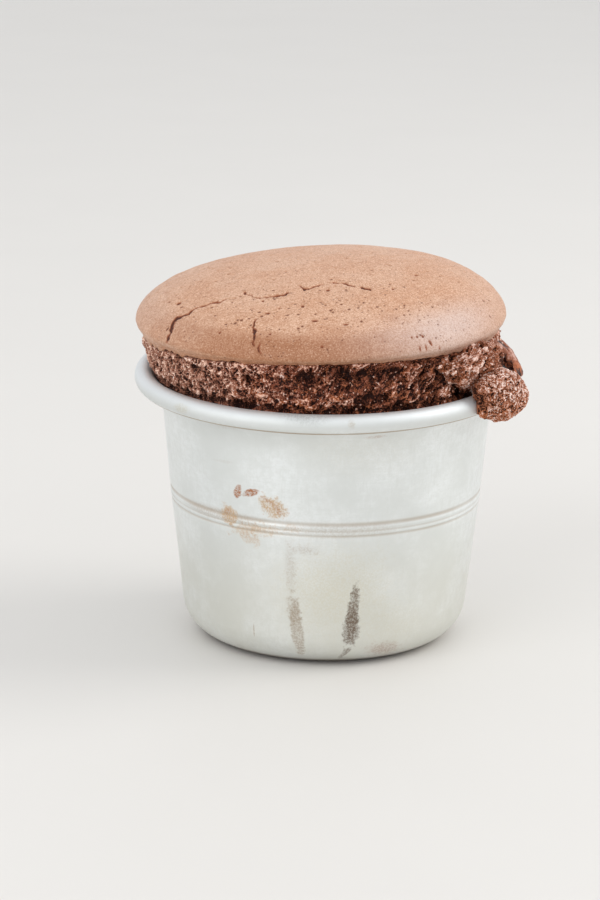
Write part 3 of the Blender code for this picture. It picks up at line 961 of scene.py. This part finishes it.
# Larger holes: (right, back, half width, half depth).
HOLES = (
    (-32.1, -14.6, 0.50, 0.60), (-14.0, -23.6, 0.25, 0.35), (-12.9, -28.7, 0.45, 0.40),
    (-5.6, -27.3, 0.32, 0.40), (-3.0, -32.7, 0.60, 0.28), (3.4, -33.9, 0.52, 0.24),
    (-0.3, -21.1, 0.40, 0.45), (-1.5, -38.8, 0.24, 0.20), (18.3, -33.1, 0.20, 0.20),
    (19.5, -32.5, 0.26, 0.24), (21.1, -32.6, 0.36, 0.20), (13.5, -19.7, 0.30, 0.35),
    (18.7, -10.7, 0.32, 0.45), (-22.9, -30.9, 0.24, 0.24), (-12.3, -35.1, 0.22, 0.22),
    (17.2, -33.7, 0.20, 0.16), (20.2, -33.6, 0.24, 0.16), (22.1, -33.2, 0.22, 0.16),
    (18.9, -34.4, 0.18, 0.14), (23.2, -31.9, 0.20, 0.16), (-10.5, -27.4, 0.20, 0.20),
)
PIT_SEED = 8
PIT_COUNT = 430
PIT_SIZES = (0.11, 0.28)
# Pits crowd together on the front of the top: how many, round where, and how far they spread.
CROWD_COUNT = 120
CROWD_PLACE = (3.0, -27.0)
CROWD_SPREAD = (13.0, 4.6)
SPLIT_DEPTH = 0.50
# How far outside a crack or a pit the skin starts to sink, and over what distance.
SPLIT_EDGE = (0.22, 0.40)
PIT_EDGE = (0.15, 0.25)
# The wrinkled band: the share of the radius where it starts, and how far it fades in and out.
WRINKLED = (0.70, 0.18, 0.03)

CRUST_TAN = (0.595, 0.322, 0.195)
CRUST_PALE = (0.665, 0.412, 0.282)
CRUST_LIGHT = (0.820, 0.560, 0.400)
CRUST_BAKED = (0.400, 0.180, 0.092)
CRUST_BURNT = (0.275, 0.105, 0.047)
CRUST_SPLIT = ((0.300, 0.090, 0.036), (0.080, 0.020, 0.009))
PINHOLE = (0.160, 0.048, 0.020)
PINHOLE_CELL = 1.15 * MM
# How far the grain frays the edges of cracks and pits.
FRAY = 0.10
# The crust is most baked along its front edge: the middle of that and its reach, in degrees.
BAKED_MIDDLE = -99
BAKED_REACH = 41
# How baked the top's edge is, everywhere and at the front; and the lip, also at its own edge.
TOP_BAKED = (0.12, 1.05)
LIP_BAKED = (0.10, 0.60, 0.80)
# Where those edges start to brown, as a share of the radius and of the way down the lip, and
# over how much more they do.
TOP_EDGE = (0.88, 0.09)
LIP_EDGE = (0.35, 0.40)
# Painted sheen, pale on the shoulder: its middle and reach round the tin in degrees, the share
# of the radius where it lies, its width, and its strength.
SHEEN_PATCHES = ((-47, 26, 0.95, 0.10, 0.66), (-158, 24, 0.95, 0.08, 0.10))
CRUST_SHEEN = (0.670, 0.565, 0.535)


def disc_grid(count):
    """A square grid drawn into a disc: each square ring becomes a round one, and its points
    stay evenly spaced.  Gives each point's share of the radius and its angle."""
    side = np.linspace(-1, 1, count)
    a, b = np.meshgrid(side, side)
    reach = np.maximum(np.abs(a), np.abs(b))
    wide = np.abs(a) >= np.abs(b)
    safe_a = np.where(a == 0, 1e-9, a)
    safe_b = np.where(b == 0, 1e-9, b)
    angle = np.where(wide, math.pi / 4 * b / safe_a, math.pi / 2 - math.pi / 4 * a / safe_b)
    angle += np.where(np.where(wide, a, b) < 0, math.pi, 0.0)
    return 1 - (1 - reach) ** CRUST_EASE, angle


def rim_order(count):
    """The grid's border points in order round the disc, from the lower left corner."""
    index = np.arange(count * count).reshape(count, count)
    return np.concatenate([index[0, :-1], index[:-1, -1], index[-1, :0:-1], index[:0:-1, 0]])


def dome(share, angle):
    """The crust from above: a low dome, fuller at the right, with a rounded shoulder."""
    u = share * np.cos(angle)
    x = CRUST_CENTRE[0] + CRUST_RADIUS * u
    y = CRUST_CENTRE[1] + CRUST_RADIUS * share * np.sin(angle)
    swell = DOME_HEIGHT + DOME_RIGHT_SHIFT * u + DOME_SIDE_SWELL * u * u
    shoulder = SHOULDER_HEIGHT * np.sqrt(np.maximum(1 - share ** SHOULDER_POWER, 0))
    return np.stack([x, y, edge_height(x, y) + (1 - share ** 2) * swell + shoulder], axis=-1)


def crack_distance(points):
    """How far each point lies outside the nearest crack: the distance to each straight run of
    its route, less half the width there.  The points wander first, so the runs turn jagged,
    and distance counts for less to the front and back, as the cracks gape that way."""
    wander = sum(reach * np.stack([soft_noise(points, size, 81 + number),
                                   soft_noise(points, size, 86 + number) / CRACK_GAPE], axis=-1)
                 for number, (size, reach) in enumerate(CRACK_WANDER))
    spot = (points[..., :2] + wander) * (1, CRACK_GAPE)
    best = np.full(points.shape[:-1], FAR)
    for route in CRACKS:
        for start, end in zip(route, route[1:]):
            *start, start_width = np.array(start) * (1, CRACK_GAPE, 1)
            *end, end_width = np.array(end) * (1, CRACK_GAPE, 1)
            step = np.subtract(end, start)
            along = np.clip((spot - start) @ step / (step @ step), 0, 1)
            gap = np.linalg.norm(spot - start - along[..., None] * step, axis=-1)
            width = start_width + along * (end_width - start_width)
            best = np.minimum(best, gap - CRACK_SPREAD * width / 2)
    return best + 0.08 * soft_noise(points, 0.6, 89)


def hole_distance(points, holes):
    """How far each point lies outside the nearest hole, in millimetres: the distance to its
    middle, counted in its half sizes."""
    best = np.full(points.shape[:-1], FAR)
    for right, back, half_wide, half_deep in holes:
        off = np.hypot((points[..., 0] - right) / half_wide, (points[..., 1] - back) / half_deep)
        best = np.minimum(best, (off - 1) * min(half_wide, half_deep))
    return best + 0.05 * soft_noise(points, 0.5, 83)


def scattered_pits():
    """Small pits spread evenly over the top by a seeded draw, most of them very small, and a
    crowd of them at the front."""
    rng = np.random.default_rng(PIT_SEED)
    share = np.sqrt(rng.uniform(0, 0.95, PIT_COUNT))
    angle = rng.uniform(0, 2 * math.pi, PIT_COUNT)
    spots = CRUST_RADIUS * share[:, None] * np.stack([np.cos(angle), np.sin(angle)], 1)
    spots += CRUST_CENTRE
    crowd = np.array(CROWD_PLACE) + CROWD_SPREAD * rng.normal(size=(CROWD_COUNT, 2))
    spots = np.concatenate([spots, crowd])
    low, high = PIT_SIZES
    size = low + (high - low) * rng.uniform(0, 1, len(spots)) ** 2.5
    return np.stack([spots[:, 0], spots[:, 1], size * 1.2, size], axis=1)


def crust_relief(points, share, angle):
    """Wrinkles that run round near the edge, and low swellings.  Gives the relief of both, and
    the wrinkles alone."""
    start, rise, fall = WRINKLED
    round_it = np.stack([9 * np.cos(angle), 9 * np.sin(angle), 30 * share], axis=-1)
    wrinkle = soft_noise(round_it, 1.0, 91) + 0.6 * soft_noise(round_it, 0.5, 92)
    wrinkle *= smooth_step((share - start) / rise) * smooth_step((1.0 - share) / fall)
    swelling = 0.10 * soft_noise(points, 7.0, 93) + 0.05 * soft_noise(points, 2.4, 94)
    return 0.10 * wrinkle + swelling, wrinkle


def sheen_share(share, angle):
    """How much painted sheen lies at a point: a bell across the shoulder and one along it."""
    return sum(strength * angle_bell(angle, middle, reach) * np.exp(-((share - at) / wide) ** 2)
               for middle, reach, at, wide, strength in SHEEN_PATCHES)


def crust_material():
    """Dry cocoa crust: matt tan with cloudy mottling and pinholes, darker and streaked where it
    baked most, pale with a painted sheen on the shoulder, and dark where it has split."""
    material, tree, shader, place = start_material("baked_crust")
    split, pit, wrinkle, baked, floury = read(tree, "split", "pit", "wrinkle", "baked", "floury")
    broad = clouds(tree, place, 11, 4.0, 0.55)
    mottle = clouds(tree, place, 1.6, 4.0, 0.65)
    grain = clouds(tree, place, 0.34, 3.0, 0.75)
    shade = mix(tree, spread(tree, broad, 0.30, 0.70), CRUST_TAN, CRUST_PALE)
    shade = tint(tree, shade, CRUST_BAKED, mottle, 0.40, 0.70, 0.38)
    shade = tint(tree, shade, CRUST_BAKED, grain, 0.50, 0.62, 0.78)
    shade = tint(tree, shade, CRUST_LIGHT, grain, 0.48, 0.36, 0.82)
    layers = clouds(tree, stretched(tree, place, 2.2), 2.2, 5.0, 0.75)
    ply = product(tree, baked, spread(tree, layers, 0.36, 0.64, 0.62, 1.22))
    streaked = summed(tree, ply, (spread(tree, wrinkle, 0.1, 0.9), 0.28))
    shade = mix(tree, streaked, shade, CRUST_BAKED)
    shade = tint(tree, shade, CRUST_BURNT, grain, 0.50, 0.64, 0.55, within=baked)
    shade = tint(tree, shade, CRUST_PALE, grain, 0.47, 0.34, 0.60, within=baked)
    # Painted sheen: a pale reflection painted on the shoulder and the lip.
    sheen = product(tree, floury, spread(tree, grain, 0.62, 0.42, 0.55, 1.0))
    shade = mix(tree, sheen, shade, CRUST_SHEEN)
    dots = add(tree, "TexVoronoi", {"Vector": place, "Scale": 1 / PINHOLE_CELL}).outputs["Distance"]
    chosen = spread(tree, clouds(tree, place, 4, 1.0), 0.38, 0.62, 0.03, 0.17)
    dot = maths(tree, "LESS_THAN", dots, chosen)
    shade = mix(tree, product(tree, dot, 0.60), shade, PINHOLE)
    shade = tint(tree, shade, PINHOLE, summed(tree, pit, (grain, FRAY)), 0.14, 0.0, 0.85)
    gap = summed(tree, split, (grain, FRAY))
    shade = tint(tree, shade, CRUST_SPLIT[0], gap, 0.20, 0.02)
    shade = tint(tree, shade, CRUST_SPLIT[1], gap, 0.06, -0.10)
    height = summed(tree, mottle, (grain, 0.6), (spread(tree, dots, 0.06, 0.20, 1.0, 0.0), -0.6))
    feed(tree, shader, {"Base Color": shade, "Roughness": 0.46, "Specular IOR Level": 0.25,
                        "Normal": bumps(tree, height, 0.50, 0.15)})
    return material


def lip_rows(angle):
    """The lip from the crust's edge down: it curves in and under, more or less deep where its
    edge is ragged.  Gives each row's share of the way, and the rows."""
    torn = angle_bell(angle, RAGGED_MIDDLE, RAGGED_REACH)
    edge = lip_ring(angle, 0, 0)
    noise = soft_noise(edge, 3.4, 95) + soft_noise(edge, 1.3, 96)
    ragged = 1 + (LIP_RAGGED[0] + (LIP_RAGGED[1] - LIP_RAGGED[0]) * torn) * noise
    steps = np.linspace(0, 1, LIP_ROWS + 1)[1:, None]
    inset, drop = [np.interp(steps, np.linspace(0, 1, 5), curve) for curve in LIP_CURVE]
    return steps, lip_ring(angle[None, :], inset, drop * ragged)


def make_crust():
    share, angle = disc_grid(CRUST_SIDE)
    top = dome(share, angle)
    split = np.minimum(crack_distance(top), hole_distance(top, HOLES))
    pit = hole_distance(top, scattered_pits())
    relief, wrinkle = crust_relief(top, share, angle)
    in_split = smooth_step((SPLIT_EDGE[0] - split) / SPLIT_EDGE[1])
    in_pit = smooth_step((PIT_EDGE[0] - pit) / PIT_EDGE[1])
    top[..., 2] += relief - SPLIT_DEPTH * np.maximum(in_split, 0.5 * in_pit) * (share < 1)
    border = rim_order(CRUST_SIDE)
    rim_angle = angle.ravel()[border]
    steps, lip = lip_rows(rim_angle)
    centre = np.array([[*CRUST_CENTRE, edge_height(*CRUST_CENTRE) - UNDERSIDE_DROP]])
    points = np.concatenate([top.reshape(-1, 3), lip.reshape(-1, 3), centre])
    grid = np.arange(top[..., 0].size).reshape(CRUST_SIDE, CRUST_SIDE)
    quads = np.stack([grid[:-1, :-1], grid[:-1, 1:], grid[1:, 1:], grid[1:, :-1]], axis=-1)
    below = grid.size + np.arange(lip[..., 0].size).reshape(LIP_ROWS, -1)
    skirt = between_rings(np.concatenate([border[None], below]))[:, ::-1]
    underside = fan(below[-1], len(points) - 1)[:, ::-1]
    mesh = make_mesh("crust", points, quads.reshape(-1, 4), skirt, underside)
    front = angle_bell(angle, BAKED_MIDDLE, BAKED_REACH)
    near_edge = smooth_step((share - TOP_EDGE[0]) / TOP_EDGE[1])
    on_top = near_edge * (TOP_BAKED[0] + TOP_BAKED[1] * front)
    all_over, at_front, at_edge = LIP_BAKED
    on_lip = all_over + at_front * angle_bell(rim_angle, BAKED_MIDDLE, BAKED_REACH)
    on_lip = on_lip + at_edge * smooth_step((steps - LIP_EDGE[0]) / LIP_EDGE[1])
    # Painted sheen on the shoulder and on the lip.
    sheen = sheen_share(share, angle)
    lip_sheen = sheen_share(np.ones_like(on_lip), rim_angle) * (1 - steps)
    far = np.full(lip[..., 0].size + 1, FAR)
    store(mesh, wrinkle=wrinkle,
          split=np.append(split, far), pit=np.append(pit, far),
          baked=np.append(on_top, on_lip), floury=np.append(sheen, lip_sheen))
    add_piece("crust", mesh, crust_material(), "fondant")


make_crust()


# --- The spill ---
# Batter that ran over the rim at the right as it rose, and set there: a neck and a ridge
# against the wall, a heavy drop over the bead, and a smooth flap of skin above them.

# Each lump: its angle round the tin, distance from the axis and height; half its size
# outwards, along the rim and upwards; how many degrees it tips down outwards and falls
# along the rim; how rough it is; and the rows and columns of its grid.
LUMPS = {
    "spill_drop": ((-30.8, 42.8, 59.3), (4.3, 9.7, 5.6), (0, 12), 0.22, (110, 200)),
    "spill_neck": ((-32.0, 38.0, 65.4), (4.6, 8.2, 5.4), (15, 10), 0.35, (90, 170)),
    "spill_ridge": ((-44.0, 38.2, 65.3), (3.0, 6.6, 2.6), (0, 24), 0.45, (60, 120)),
    "spill_flap": ((-4.0, 39.2, 63.5), (5.7, 6.2, 1.5), (50, 0), 0.12, (70, 130)),
}
LUMP_GRAINS = ((0.5, 0.30), (0.2, 0.18))
# Hollows between the lumps: the piece, the place, the half sizes, how deep, and how dark with
# painted shade.
HOLLOWS = (
    ("spill_neck", (37.6, -18.0, 65.5), (2.2, 3.0, 2.6), 1.1, 0.85),
    ("spill_drop", (32.3, -29.9, 60.0), (1.7, 2.8, 2.6), 0.35, 0.62),
    ("spill_drop", (32.4, -29.2, 56.8), (2.0, 3.2, 1.9), -1.0, 0.0),
    ("spill_drop", (30.9, -28.5, 60.4), (1.6, 2.4, 3.2), 0.0, 0.72),
    ("spill_flap", (38.2, -8.6, 64.6), (1.5, 3.0, 1.3), 1.3, 1.0),
    ("spill_flap", (39.9, -8.4, 62.6), (1.7, 3.0, 1.6), 1.3, 1.0),
)
# The neck and the ridge are as much lighter than the wall as their crumb is drier.
SIDE_LIFT = 0.12
SPILT_WEB = (0.74, 0.40, 0.46)
FLAP_TIP = (42.0, -6.2, 61.0)
FLAP_TIP_SIZE = (2.4, 3.0, 2.2)
# Painted shade where the flap folds in, and painted highlights on what rises.
FLAP_SHADE = (0.022, 0.0050, 0.0036)
FLAP_SKIN = (0.290, 0.092, 0.044)
FLAP_HIGHLIGHT = (0.600, 0.360, 0.290)


def spilt_crumb(points):
    """Crumb of the spill: a close web of worm-like ridges, rounder and finer than the side's."""
    coarse, fine, height = SPILT_WEB
    bent = warped(points, 1.0, 0.30, 81)
    tone = web(bent, coarse, fine, 85)
    clot = cell_noise(bent, 0.6, 88)[1]
    return height * (tone - 0.75) + 0.25 * soft_noise(points, 2.2, 87), tone * (0.55 + 0.45 * clot)


def ball_rings(rows, columns):
    """Rings of a unit ball from its lower to its upper end, without its two poles."""
    up = np.linspace(-math.pi / 2, math.pi / 2, rows + 2)[1:-1, None]
    turn = np.linspace(0, 2 * math.pi, columns, endpoint=False)
    level = np.broadcast_to(np.sin(up), (rows, columns))
    return np.stack([np.cos(up) * np.cos(turn), np.cos(up) * np.sin(turn), level], axis=-1)


def egg(place, half_size, tilt, roughness, grid):
    """A rough egg as rings from its lower to its upper end: a unit ball swollen by noise, then
    scaled, tipped, turned and set in its place."""
    ball = ball_rings(*grid)
    swell = sum(share * soft_noise(ball + place[0], size, 101) for size, share in LUMP_GRAINS)
    swollen = ball * (1 + roughness * swell)[..., None]
    size = Matrix.Diagonal(half_size)
    tipped = Matrix.Rotation(math.radians(tilt[0]), 3, "Y")
    fall = Matrix.Rotation(math.radians(-tilt[1]), 3, "X")
    turned = Matrix.Rotation(math.radians(place[0]), 3, "Z")
    shape = np.array(turned @ tipped @ fall @ size)
    middle = np.array(turned @ Vector((place[1], 0, place[2])))
    return swollen @ shape.T + middle


def over_the_rim(points):
    """Points kept out of the rim: below the bead's centre they move out to its side, and above
    it they move straight away from its centre."""
    x, y, z = np.moveaxis(points, -1, 0)
    radius = np.hypot(x, y)
    z_bead = lean(x, y, np.full_like(z, BEAD_CENTRE[1]))
    away_r, away_z = radius - BEAD_CENTRE[0], z - z_bead
    far = np.maximum(np.hypot(away_r, away_z), 1e-6)
    push = np.maximum(BEAD_RADIUS / far, 1.0)
    above = away_z > 0
    new_radius = np.where(above, BEAD_CENTRE[0] + away_r * push,
                          np.maximum(radius, BEAD_CENTRE[0] + BEAD_RADIUS))
    new_z = np.where(above, z_bead + away_z * push, z)
    return np.stack([x * new_radius / radius, y * new_radius / radius, new_z], axis=-1)


def flap_material():
    """Set batter skin: reddish brown, moist and wrinkled, with painted shade where it folds in and
    painted highlights on what rises.
    """
    material, tree, shader, place = start_material("batter_skin")
    tone, warm = read(tree, "tone", "warm")
    patch = clouds(tree, place, 1.6, 3.0, 0.6)
    grain = clouds(tree, place, 0.5, 3.0, 0.6)
    rise = summed(tree, -1.2, (tone, 1.0), (patch, 1.4), (grain, 1.0))
    shade = mix(tree, spread(tree, rise, 0.05, 0.50), FLAP_SHADE, FLAP_SKIN)
    shade = tint(tree, shade, FLAP_HIGHLIGHT, rise, 0.50, 0.95)
    shade = tint(tree, shade, WARM_CRUMB, rise, 0.2, 0.6, within=warm)
    rough = spread(tree, patch, 0.35, 0.65, 0.34, 0.55)
    feed(tree, shader, {"Base Color": shade, "Roughness": rough, "Specular IOR Level": 0.15,
                        "Normal": bumps(tree, grain, 0.60, 0.30)})
    return material


def soft_ball(points, place, size):
    """1 at a place, easing to 0 a little past its half sizes."""
    return np.exp(-np.linalg.norm((points - np.array(place)) / size, axis=-1) ** 3)


def lump_skin(name, rings):
    """A lump's relief and tone before its hollows: low folds on the flap, a close web on the
    drop, and that web over drawn crumb on the neck and the ridge."""
    if name == "spill_flap":
        relief = 0.30 * soft_noise(rings, 2.0, 111) + 0.18 * soft_noise(rings, 0.9, 112)
        return relief, 0.40 + 1.5 * relief
    relief, tone = spilt_crumb(rings)
    if name != "spill_drop":
        drawn_relief, drawn_tone = curdled(rings)
        relief = 0.50 * relief + 0.95 * drawn_relief
        tone = 0.42 * tone + 0.72 * drawn_tone - 0.03
    return relief, tone


def make_spill():
    """Gives the skins and normals of those lumps that are crumb."""
    flap_skin = flap_material()
    crumbly = []
    for name, (place, half_size, tilt, roughness, grid) in LUMPS.items():
        flap, drop = name == "spill_flap", name == "spill_drop"
        rings = egg(place, half_size, tilt, roughness, grid)
        relief, tone = lump_skin(name, rings)
        # Painted shade in the hollows between the lumps.
        dark = np.zeros(tone.shape)
        for owner, middle, size, deep, darkness in HOLLOWS:
            hollow = soft_ball(rings, middle, size) * (owner == name)
            relief = relief - deep * hollow
            dark = np.maximum(dark, darkness * hollow)
        rings = over_the_rim(rings + relief[..., None] * outward(rings))
        mesh = make_mesh(name, *closed_skin(rings, rings[0].mean(axis=0), rings[-1].mean(axis=0)))
        low = smooth_step((place[2] + 1.0 - rings[..., 2]) / 4.0)
        if flap:
            warm = soft_ball(rings, FLAP_TIP, FLAP_TIP_SIZE)
        elif drop:
            # Painted light: the top of the drop is made lighter.
            tone = tone + 0.10 * (1 - low)
            warm = 0.95 * low
        else:
            tone = tone + SIDE_LIFT
            warm = np.full(tone.shape, 0.15)
        store(mesh, tone=tone * (1 - dark), moist=np.ones(tone.shape),
              dusty=np.full(tone.shape, 1.0 if drop else 0.65), warm=warm)
        add_piece(name, mesh, flap_skin if flap else CRUMB, "fondant")
        if not flap:
            crumbly.append((rings, outward(rings)))
    return crumbly


spilt_skins = make_spill()


# --- Loose crumb ---
# Bits that tore free as the side opened and stuck where they fell: on the moist side and on
# the spill.

BIT_SEED = 17
BIT_COUNTS = {"wall": 700, "spill": 110}
BIT_SIZES = (0.12, 0.27)
BIT_GRID = (4, 7)
BIT_ROUGHNESS = 0.45
BIT_STRETCH = (0.65, 1.3)
BIT_TONES = (0.15, 0.9)
# Bits thin out at the wall's foot and under the lip, over these shares of its height.
BIT_FADE = (0.08, 0.15)


def turned_any_way(rng, count):
    """Random turns, each from a unit quaternion written out as a three by three matrix."""
    turn = rng.normal(size=(4, count))
    w, x, y, z = turn / np.linalg.norm(turn, axis=0)
    return np.moveaxis(np.array([
        [1 - 2 * (y * y + z * z), 2 * (x * y - w * z), 2 * (x * z + w * y)],
        [2 * (x * y + w * z), 1 - 2 * (x * x + z * z), 2 * (y * z - w * x)],
        [2 * (x * z - w * y), 2 * (y * z + w * x), 1 - 2 * (x * x + y * y)]]), -1, 0)


def scatter_bits(rng, skin, normals, weight, count):
    """Places for bits on a skin: points drawn by weight, with a size for each, sunk in so that
    each bit stands out by about half of itself."""
    chance = weight.ravel() / weight.sum()
    pick = rng.choice(chance.size, count, replace=False, p=chance)
    low, high = BIT_SIZES
    size = low + (high - low) * rng.uniform(0, 1, count) ** 1.8
    middle = skin.reshape(-1, 3)[pick] + (0.2 * size)[:, None] * normals.reshape(-1, 3)[pick]
    return middle, size


def make_bits():
    rng = np.random.default_rng(BIT_SEED)
    fade = between(np.linspace(0, 1, SPONGE_ROWS), *BIT_FADE)[:, None]
    places = [scatter_bits(rng, bare_side, bare_normals, bare_moist * fade, BIT_COUNTS["wall"])]
    for skin, normals in spilt_skins:
        even = np.linalg.norm(skin[:, :1] - skin[:, 1:2], axis=-1) * np.ones(skin.shape[1])
        places.append(scatter_bits(rng, skin, normals, even, BIT_COUNTS["spill"]))
    middle, size = [np.concatenate(kind) for kind in zip(*places)]
    count = len(size)
    ball, *kinds = closed_skin(ball_rings(*BIT_GRID), (0, 0, -1), (0, 0, 1))
    swell = 1 + BIT_ROUGHNESS * rng.uniform(-1, 1, (count, len(ball), 1))
    stretch = rng.uniform(*BIT_STRETCH, (count, 1, 3))
    shapes = (ball * swell * stretch) @ np.swapaxes(turned_any_way(rng, count), 1, 2)
    points = (middle[:, None] + size[:, None, None] * shapes).reshape(-1, 3)
    step = (np.arange(count) * len(ball))[:, None, None]
    faces = [(kind + step).reshape(-1, kind.shape[1]) for kind in kinds]
    mesh = make_mesh("loose_crumb", points, *faces)
    angle = np.arctan2(middle[:, 1], middle[:, 0])
    marks = {"tone": rng.uniform(*BIT_TONES, count), "moist": moist_share(angle),
             "dusty": angle_bell(angle, DUSTY_MIDDLE, DUSTY_REACH)}
    store(mesh, **{name: np.repeat(values, len(ball)) for name, values in marks.items()})
    add_piece("loose_crumb", mesh, CRUMB, "fondant")


make_bits()
